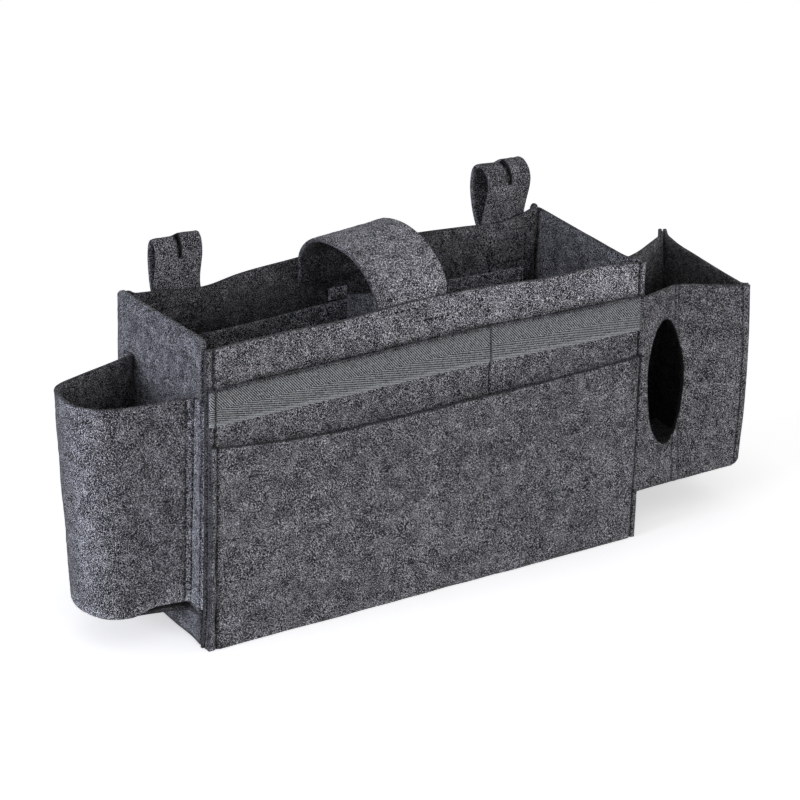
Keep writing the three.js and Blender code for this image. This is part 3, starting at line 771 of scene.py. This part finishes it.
# Hanging loops: one felt strip each, folded double and sewn to the back of the back panel.
# A slit is cut into the fold, and its two lips stand at different heights.
SLIT_DEPTH = 13.0
SLIT_WIDTH = 1.7
LIP_RISE = 1.3
LIP_REACH = 12.0
LIP_SPREAD = 0.6
TOOL_CLEAR = 6.0
LOOP_STEPS = 84
LEG_BEND = 0.6
SLIT_SHARE = 0.35
TOOL_START = 20.0


def settle(piece):
    """Gives a piece the mesh that its modifiers make, in the place of its first one."""
    first = piece.data
    piece.data = bpy.data.meshes.new_from_object(piece.evaluated_get(bpy.context.evaluated_depsgraph_get()))
    piece.modifiers.clear()
    bpy.data.meshes.remove(first)
    piece.data.name = piece.name


def carve(piece, points, faces):
    """Cuts a closed shape, given in millimetres, out of a piece."""
    tool_mesh = bpy.data.meshes.new("tool")
    tool_mesh.from_pydata((np.array(points) * MM).tolist(), [], faces)
    tool_tone = tool_mesh.attributes.new("tone", "FLOAT", "POINT")
    tool_tone.data.foreach_set("value", np.full(len(points), RIM_SHADE))
    tool = in_scene("tool", tool_mesh)
    carving = piece.modifiers.new("carving", "BOOLEAN")
    carving.operation = "DIFFERENCE"
    carving.solver = "EXACT"
    carving.object = tool
    settle(piece)
    bpy.data.meshes.remove(tool_mesh)


def prism(outline, start, end):
    """A closed bar along Y; its outline in X and Z runs anticlockwise as seen from the front."""
    count = len(outline)
    points = [(x, y, z) for y in (start, end) for x, z in outline]
    sides = [(k, count + k, count + (k + 1) % count, (k + 1) % count) for k in range(count)]
    return points, [*sides, tuple(range(count)), tuple(range(2 * count - 1, count - 1, -1))]


loop_shapes = {
    "left": [(0.3, 10), (-2.6, 28), (-1.6, 37), (2.4, 41.5), (6.6, 38), (7.6, 27), (6.6, 14), (4.6, 5)],
    "right": [(0.4, 10), (-5.6, 33), (-4, 43.5), (4.6, 49.2), (14.2, 45), (17.2, 32), (15, 18), (9.6, 6)],
}
for side, shape in loop_shapes.items():
    hinge = next(joint for joint in frame["joints"] if joint["name"] == f"{side}_loop_fold")
    pivot_y, pivot_z = hinge["pos_m"][1] / MM, hinge["pos_m"][2] / MM
    loop_low, loop_high = cad_corners(f"{side}_hanging_loop")
    centre = (loop_low[0] + loop_high[0]) / 2
    tail = cad_corners(f"{side}_loop_front_tab")[0][2] - pivot_z
    front_leg = [(-LAYER / 2, tail), (-LAYER / 2, tail * LEG_BEND), (-LAYER / 2, -1)]
    rear_leg = [(LAYER / 2, -3.5), (LAYER / 2, tail * LEG_BEND), (LAYER / 2, tail)]
    line = spline([*front_leg, *shape, *rear_leg], LOOP_STEPS)
    peak = max(z for _, z in shape)
    crown = ramp(line[:, 1], peak - LIP_REACH - SLIT_DEPTH, peak - LIP_REACH)
    strip_x, along = np.meshgrid(spread(loop_low[0], loop_high[0], 2.0), np.arange(len(line)))
    lip = np.sign(strip_x - centre) * np.exp(-np.abs(strip_x - centre) / LIP_REACH) * crown[along]
    loop_y = pivot_y + line[along, 0] - lip * LIP_RISE * LIP_SPREAD
    loop_z = pivot_z + line[along, 1] + lip * LIP_RISE
    loop = cloth(f"felt_{side}_loop", joined(strip_x, loop_y, loop_z), raw=RIM_SHADE)
    top, slit_end = pivot_z + peak + TOOL_CLEAR, pivot_z + peak - SLIT_DEPTH
    slit = [(centre - SLIT_WIDTH, top), (centre - SLIT_WIDTH / 2, slit_end),
            (centre + SLIT_WIDTH / 2, slit_end), (centre + SLIT_WIDTH, top)]
    carve(loop, *prism(slit, pivot_y - TOOL_START, pivot_y + max(y for y, _ in shape) * SLIT_SHARE))
    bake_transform(loop)
    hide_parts(f"{side}_hanging_loop", f"{side}_loop_front_tab", f"{side}_loop_rear_tab")


# Bottle pocket: one felt strip bent round into a cup that narrows to the foot, sewn to the left panel.
# Rows of stitches beside its front lap press it into ridges, and its lower edge rises towards the wall.
BOTTLE_TOP = cad_corners("bottle_wrap")[1][2]
BOTTLE_LOW = cad_corners("bottle_base")[0][2] + 0.3
LAP_X = -SIDE_FACE - GAP - FELT / 2 - 0.4
FOOT_LAP = LAP_X - 3.7
RIDGE_ROWS = (0.6, 6.4, -11.4)
RIDGE_DEPTH = 1.2
RIDGE_WIDTH = 1.1
FOOT_TILT = 0.055
FOOT_MIDDLE = -212.0
WALL_RISE = 6.0
BEND_RISE = 1.8
FOOT_PAINTED_LIGHT = 0.5
WRAP_PAINTED_SHADE = 0.86
LAP_PAINTED_LIGHT = 0.44
TURN_PAINTED_LIGHT = 0.38
BEND_TRAVEL = 14.0
WRAP_STEPS = 300
mouth_line = spline([(LAP_X, 57), (LAP_X, 51), (LAP_X - 3, 47.2), (-204, 38.6), (-225.7, 31.8), (-238, 28),
                     (-246, 22.5), (-250.4, 13), (-252.4, -3.5), (-250, -14.8), (-240.6, -25.9),
                     (-226.2, -31.1), (-210, -33.6), (-193.3, -35.6), (LAP_X - 4, -37.8),
                     (LAP_X - 0.2, -41.5), (LAP_X - 2.6, -54)], WRAP_STEPS)
foot_line = spline([(LAP_X - 0.8, 57), (LAP_X - 1.2, 51), (LAP_X - 4, 47), (-200, 39), (-222, 30.5),
                    (-236, 20.5), (-242.5, 8), (-245, -4), (-244, -16), (-238.6, -27.2), (-229, -32.2),
                    (-210, -34), (-193.3, -36), (FOOT_LAP - 3.4, -38.4), (FOOT_LAP - 0.4, -42),
                    (FOOT_LAP - 0.8, -56)], WRAP_STEPS)
lap_travel = travelled(foot_line[::-1])[::-1]
from_bend = lap_travel - BEND_TRAVEL
near_wall = ramp(from_bend, 46, 24)
lift = WALL_RISE * near_wall ** 2 * (3 - 2 * near_wall) + BEND_RISE * ramp(from_bend, 25, 0)


def foot_tilt(x):
    return -FOOT_TILT * (x - FOOT_MIDDLE)


bottle_middle = wall(foot_line, mouth_line, BOTTLE_LOW + lift + foot_tilt(foot_line[:, 0]), BOTTLE_TOP)
ridges = sum(bell(from_bend, row, RIDGE_WIDTH) for row in RIDGE_ROWS)
lap_edge = ramp(lap_travel, 2, 0)
bottle_thin = np.broadcast_to(RIDGE_DEPTH * np.maximum(ridges, lap_edge), bottle_middle.shape[:2])
# The wrap is painted a little darker as painted shade, and lighter on its lap and where it turns back:
# painted light.
bottle_light_and_shade = WRAP_PAINTED_SHADE + LAP_PAINTED_LIGHT * ramp(from_bend, 9, 5) + TURN_PAINTED_LIGHT * bell(from_bend, 77, 14)
above_foot = bottle_middle[..., 2] - bottle_middle[0, :, 2]
# A painted light brightens the wrap just above its foot.
bottle_light_and_shade = bottle_light_and_shade * (1 + FOOT_PAINTED_LIGHT * ramp(above_foot, 12, 0))
# The ridge grooves get painted shade through thin, and the lap's cut edge gets a painted highlight through
# raw.
sewn_on(cloth("felt_bottle_wrap", bottle_middle, thin=bottle_thin, tone=bottle_light_and_shade, raw=1.2 + 2 * lap_edge),
        "felt", "bottle_wrap")


# Bottle base: a felt disc with one straight side, set into the foot of the wrap.
# It tilts with the foot, and hardly any light reaches it, so it is painted dark as painted shade.
BASE_CENTRE = (-205, 4)


def plate(first, last, steps, height):
    """The middle surface of a level sheet between two plan lines of equally many points."""
    plan = first + np.linspace(0, 1, steps)[:, None, None] * (last - first)
    return joined(plan[..., 0], plan[..., 1], height)


base_edge = foot_line[foot_line[:, 0] < LAP_X - 2.5]
base_edge = base_edge + unit(np.array(BASE_CENTRE) - base_edge) * (FELT / 2 - GAP)
base_spine = joined(-SIDE_FACE - 2.0, base_edge[:, 1])
bottle_base = plate(base_edge[::-1], base_spine[::-1], 14, BOTTLE_LOW + FELT / 2 + 0.1)
bottle_base[..., 2] += foot_tilt(bottle_base[..., 0])
sewn_on(cloth("felt_bottle_base", bottle_base, uneven=0.4, tone=0.25), "felt", "bottle_base")


# Tissue pocket front: a felt panel folded inwards at an upright crease, most at the mouth, with an oval hole.
# Its inner end turns along the right panel, and its outer end is seamed to the outer panel, raw edges out.
TISSUE_TOP = cad_corners("tissue_front_panel")[1][2]
TISSUE_LOW = cad_corners("tissue_base")[0][2] + 0.3
WALL_X = SIDE_FACE + GAP + FELT / 2 + 0.6
OVAL_CENTRE = (SIDE_FACE + 46.5, 104.0)
OVAL_HALF = (18.25, 47.25)
CREASE_WIDTH = 0.9
CREASE_DEPTH = 1.4
SEAM_DEPTH = 1.2
OUTER_BULGE = 3.0


def creased(points, count, soft=3.0):
    """A line of straight runs with slightly rounded corners, laid out in even steps."""
    points = np.array(points, dtype=float)
    line = [points[0]]
    for before, corner, after in zip(points, points[1:], points[2:]):
        start = corner + unit(before - corner) * soft
        end = corner + unit(after - corner) * soft
        for t in np.linspace(0, 1, 7):
            line.append((1 - t) ** 2 * start + 2 * t * (1 - t) * corner + t ** 2 * end)
    return even_steps(np.array([*line, points[-1]]), count)


def bulged(middle, amount):
    """Pushes a wall of the tissue pocket outwards half way up, most at its outer end."""
    share = ramp(middle[..., 2], TISSUE_LOW, TISSUE_TOP)
    away = ramp(middle[..., 0], SIDE_FACE, SIDE_FACE + 110) ** 2
    middle = middle.copy()
    middle[..., 0] += amount * away * np.sin(math.pi * share)
    return middle


front_mouth = creased([(WALL_X, -33), (WALL_X, -42.5), (233, -27.5), (277.2, -49.2), (282.4, -52.2)], 230)
front_foot = creased([(WALL_X, -36), (WALL_X, -45.5), (229, -43.5), (281.3, -42.8), (290, -43)], 230)
foot_corner = 5 * ramp(front_foot[:, 0], 284, 290) ** 2
mouth_drop = 2 * ramp(front_mouth[:, 0], 235, 275)
tissue_front = wall(front_foot, front_mouth, TISSUE_LOW + foot_corner, TISSUE_TOP - mouth_drop)
tissue_front = bulged(tissue_front, OUTER_BULGE)
share = (tissue_front[..., 2] - TISSUE_LOW) / (TISSUE_TOP - TISSUE_LOW)
crease_lines = (231.1 - 5.2 * (1 - share), 234.9 - 2.4 * (1 - share))
crease_dent = sum(CREASE_DEPTH * bell(tissue_front[..., 0], line, CREASE_WIDTH) for line in crease_lines)
seam_x = 285.8 - 8.3 * share + OUTER_BULGE * np.sin(math.pi * share)
seam_dent = SEAM_DEPTH * bell(tissue_front[..., 0], seam_x, PRESS_WIDTH)
# The crease and the seam are pressed in, and their colour is darkened there as painted shade.
tissue_panel = cloth("felt_tissue_front", tissue_front, thin=crease_dent + seam_dent)
oval_turn = np.linspace(0, math.tau, 96, endpoint=False)
oval = np.array(OVAL_CENTRE) + np.array(OVAL_HALF) * joined(np.cos(oval_turn), np.sin(oval_turn))
carve(tissue_panel, *prism(oval.tolist(), -80, 0))
sewn_on(tissue_panel, "felt", "tissue_front_panel")


# Tissue pocket back: a felt panel folded inwards at a crease and seamed to the outer panel at its outer end.
# Its rim rises to a peak at that seam.
PEAK = 4.0
DEEP_SHADE = 0.25
back_mouth = creased([(WALL_X, 56), (WALL_X, 47), (234, 33.5), (285.3, 55.2), (290.3, 64.5)], 90)
back_foot = creased([(WALL_X, 56), (WALL_X, 47), (231, 44), (285.5, 52), (289.4, 60.5)], 90)


def peaked(line):
    return TISSUE_TOP + PEAK * ramp(line[:, 0], 245, 290) ** 2


def inside_shade(middle):
    """Painted shade on the inside of the pocket: darkest deep down, where little light gets in."""
    return DEEP_SHADE + (1 - DEEP_SHADE) * ramp(middle[..., 2], 125, 170)


tissue_back = wall(back_foot[::-1], back_mouth[::-1], TISSUE_LOW, peaked(back_mouth[::-1]))
tissue_back = bulged(tissue_back, OUTER_BULGE)
sewn_on(cloth("felt_tissue_back", tissue_back, behind=inside_shade(tissue_back)), "felt", "tissue_back_panel")


# Tissue pocket outer panel: a felt rectangle between the two others, its seam allowances turned out.
# Its rim rises to the same peak at the back and drops a little at the front.
outer_mouth = creased([(283.6, -48.9), (278.6, -45.9), (288.4, 55), (293.2, 62.6)], 80)
outer_foot = creased([(290.3, -39.6), (281.8, -39.4), (288.4, 51.5), (292, 58.8)], 80)
outer_top = TISSUE_TOP + PEAK * ramp(outer_mouth[:, 1], 25, 61) ** 2 - 2 * ramp(outer_mouth[:, 1], 25, -45)
tissue_outer = bulged(wall(outer_foot, outer_mouth, TISSUE_LOW, outer_top), OUTER_BULGE)
outer_panel = cloth("felt_tissue_outer", tissue_outer, behind=inside_shade(tissue_outer))
sewn_on(outer_panel, "felt", "tissue_outer_panel")


# Tissue pocket base: a felt plate sewn to the lower edges of the three panels.
# It lies above the floor, because the whole pocket hangs on the right panel.
plate_front = creased([(SIDE_FACE + 0.6, -44.4), (229, -42.4), (280.8, -41.6)], 40)
plate_back = creased([(SIDE_FACE + 0.6, 46), (231, 43), (287.4, 51.2)], 40)
tissue_base = plate(plate_front, plate_back, 31, TISSUE_LOW + FELT / 2 + 0.1)
sewn_on(cloth("felt_tissue_base", tissue_base, uneven=0.4), "felt", "tissue_base")


# Sewing: rows of dark polyester thread, whose stitches lie in the grooves that they press into the felt.
# Each row is laid along its line by one node tree, in stitches that differ a little in length and lie.
STITCH_PITCH = 3.4
STITCH_LENGTH = 2.7
STITCH_WIDTH = 0.85
STITCH_SEED = 7
TWIST = 0.6
STITCH_SIZES = (0.85, 1.1)
STITCH_LIE = 0.09
PROUD = 0.2
BURIED = 0.6
LOOSE = 0.7

# Spun polyester thread: nearly black, with a dull shine and a faint twist.
thread, yarn = new_material("dark_polyester_thread")
thread_place = node(yarn, "ShaderNodeTexCoord").outputs["Object"]
thread_twist = node(yarn, "ShaderNodeTexNoise", {"Vector": thread_place, "Scale": 1 / (TWIST * MM)})
thread_colour = colour_scale(yarn, thread_twist.outputs[0], "#060607", "#1d1d20")
thread_body = node(yarn, "ShaderNodeBsdfPrincipled", {"Base Color": thread_colour, "Roughness": 0.7,
                   "Specular IOR Level": 0.2})
node(yarn, "ShaderNodeOutputMaterial", {"Surface": thread_body.outputs[0]})

sewing = bpy.data.node_groups.new("stitch_row", "GeometryNodeTree")
sewing.interface.new_socket("Geometry", in_out="OUTPUT", socket_type="NodeSocketGeometry")
sewing.interface.new_socket("Geometry", in_out="INPUT", socket_type="NodeSocketGeometry")
row_inputs = {}
for label, value in (("Pitch", STITCH_PITCH), ("Length", STITCH_LENGTH), ("Width", STITCH_WIDTH)):
    socket = sewing.interface.new_socket(label, in_out="INPUT", socket_type="NodeSocketFloat")
    socket.default_value = value * MM
    row_inputs[label] = socket.identifier
entry = node(sewing, "NodeGroupInput").outputs
row_curve = node(sewing, "GeometryNodeMeshToCurve", {"Mesh": entry["Geometry"]}).outputs[0]
even_row = node(sewing, "GeometryNodeResampleCurve", {"Curve": row_curve, "Length": entry["Pitch"]},
                mode="LENGTH")
bead = node(sewing, "GeometryNodeMeshUVSphere", {"Segments": 8, "Rings": 5, "Radius": 0.5}).outputs["Mesh"]
round_bead = node(sewing, "GeometryNodeSetShadeSmooth", {"Geometry": bead}).outputs[0]
size = node(sewing, "ShaderNodeCombineXYZ", {0: entry["Length"], 1: entry["Width"], 2: entry["Width"]})
vary = node(sewing, "FunctionNodeRandomValue", {"Min": STITCH_SIZES[0], "Max": STITCH_SIZES[1],
            "Seed": STITCH_SEED}, data_type="FLOAT")
varied = node(sewing, "ShaderNodeVectorMath", {0: size.outputs[0], "Scale": vary.outputs[1]},
              operation="SCALE")
tangent = node(sewing, "GeometryNodeInputTangent").outputs[0]
heading = node(sewing, "FunctionNodeAlignRotationToVector", {"Vector": tangent}, axis="X").outputs[0]
tilt_by = node(sewing, "FunctionNodeRandomValue", {0: [-STITCH_LIE] * 3, 1: [STITCH_LIE] * 3,
               "Seed": STITCH_SEED + 1}, data_type="FLOAT_VECTOR").outputs[0]
lie = node(sewing, "FunctionNodeRotateRotation", {0: heading, 1: tilt_by}).outputs[0]
laid = node(sewing, "GeometryNodeInstanceOnPoints", {"Points": even_row.outputs[0], "Instance": round_bead,
            "Rotation": lie, "Scale": varied.outputs[0]}).outputs[0]
real = node(sewing, "GeometryNodeRealizeInstances", {0: laid}).outputs[0]
dyed = node(sewing, "GeometryNodeSetMaterial", {"Geometry": real, "Material": thread}).outputs[0]
node(sewing, "NodeGroupOutput", {"Geometry": dyed})


def stitch(thread_node, *lines, width=STITCH_WIDTH, pitch=STITCH_PITCH):
    """Sews lines of points, in millimetres, as the rows of one CAD thread."""
    points = np.concatenate(lines) * MM
    starts = np.cumsum([0, *map(len, lines)])
    edges = [(k, k + 1) for first, after in zip(starts, starts[1:]) for k in range(first, after - 1)]
    mesh = bpy.data.meshes.new(f"stitches_{thread_node}")
    mesh.from_pydata(points.tolist(), edges, [])
    row = in_scene(mesh.name, mesh)
    maker = row.modifiers.new("sewing", "NODES")
    maker.node_group = sewing
    maker[row_inputs["Width"]] = width * MM
    maker[row_inputs["Pitch"]] = pitch * MM
    maker[row_inputs["Length"]] = pitch * MM * STITCH_LENGTH / STITCH_PITCH
    settle(row)
    if row.data.materials[0] is None:
        row.data.materials.pop(index=0)
    sewn_on(row, "thread", thread_node)


def upright_row(x, y, low, high, out=0.0):
    """A line up a sheet; y may be the sheet's surface, and the line lies in front of it by out."""
    z = np.linspace(low, high, max(int(high - low), 2))
    return joined(x, (y(x, z) if callable(y) else y) - out, z)


def level_row(x_low, x_high, y, z, out=0.0):
    x = np.linspace(x_low, x_high, max(int(x_high - x_low), 2))
    return joined(x, (y(x, z) if callable(y) else y) - out, z)


on_felt = (FELT - PRESS) / 2 + PROUD
on_tape = TAPE / 2 + PROUD
for side, sign in (("left", -1), ("right", 1)):
    row_x = sign * CORNER_ROW
    stitch(f"{side}_corner_thread",
           upright_row(row_x, pocket_surface, 3, pocket_rim(row_x) - 1, on_felt),
           upright_row(row_x, middle_surface, pocket_rim(row_x) + 2, WEBBING_LOW - 1, on_felt),
           upright_row(row_x, webbing_surface, WEBBING_LOW + 1, webbing_rim(row_x) - 1, on_tape),
           upright_row(row_x, front_surface, MIDDLE_TOP + 2, front_rim(row_x) - 2, on_felt))
    stitch(f"inner_{side}_thread",
           upright_row(sign * (inner_high[0] - 2.5), inner_low[1], 6, inner_high[2] - 8, PROUD))
    (box_left, _, box_foot), (box_right, _, box_top) = cad_corners(f"{side}_loop_thread")
    stitch(f"{side}_loop_thread",
           *(level_row(box_left, box_right, BACK_INSIDE, z, PROUD) for z in (box_top, box_foot)),
           *(upright_row(x, BACK_INSIDE, box_foot, box_top, PROUD) for x in (box_left, box_right)))

stitch("pocket_divide_thread",
       upright_row(DIVIDE_X, middle_surface, pocket_rim(DIVIDE_X) + 1, WEBBING_LOW - 1, on_felt),
       upright_row(DIVIDE_X, webbing_surface, WEBBING_LOW + 1, webbing_rim(DIVIDE_X) - 1, on_tape), width=0.6)

# The row that holds the handle is sunk in the front panel, and a few of its stitches came loose.
row_left, row_right = handle_low[0] + 3, handle_high[0] - 3
stitch("handle_front_thread", level_row(-27, -12, front_surface, BOX_HEIGHT - 5, FELT / 2 + LOOSE),
       level_row(row_left, row_right, front_surface, TAB_LOW + 3, FELT / 2 - BURIED), width=1.5, pitch=4.6)
stitch("handle_back_thread", level_row(row_left, row_right, ARCH_BACK, TAB_LOW + 3, FELT / 2 + PROUD))


def wrap_row(travel):
    """A line down the bottle wrap at a distance from its front bend, on the outside of the felt."""
    k = int(np.argmin(np.abs(from_bend - travel)))
    line = bottle_middle[:, k]
    side = unit(np.cross(bottle_middle[:, k + 1] - bottle_middle[:, k - 1], np.gradient(line, axis=0)))
    return (line + side * ((FELT - RIDGE_DEPTH) / 2 + PROUD))[1:-1]


stitch("bottle_front_thread", wrap_row(RIDGE_ROWS[0]), wrap_row(RIDGE_ROWS[1]))
stitch("bottle_edge_thread", wrap_row(RIDGE_ROWS[2]))
stitch("bottle_back_thread", upright_row(LAP_X - FELT / 2 - PROUD, 54, BOTTLE_LOW + 4, BOTTLE_TOP - 4))

seam_index = np.argmin(np.abs(tissue_front[..., 0] - seam_x), axis=1)
seam_line = tissue_front[np.arange(len(seam_index)), seam_index]
seam_line = seam_line - np.array([0, (FELT - PRESS) / 2 + 0.1, 0])
stitch("tissue_corner_thread", seam_line[1:-1])
stitch("tissue_wall_thread", upright_row(SIDE_FACE - FELT - PROUD, 52, TISSUE_LOW + 4, TISSUE_TOP - 4))
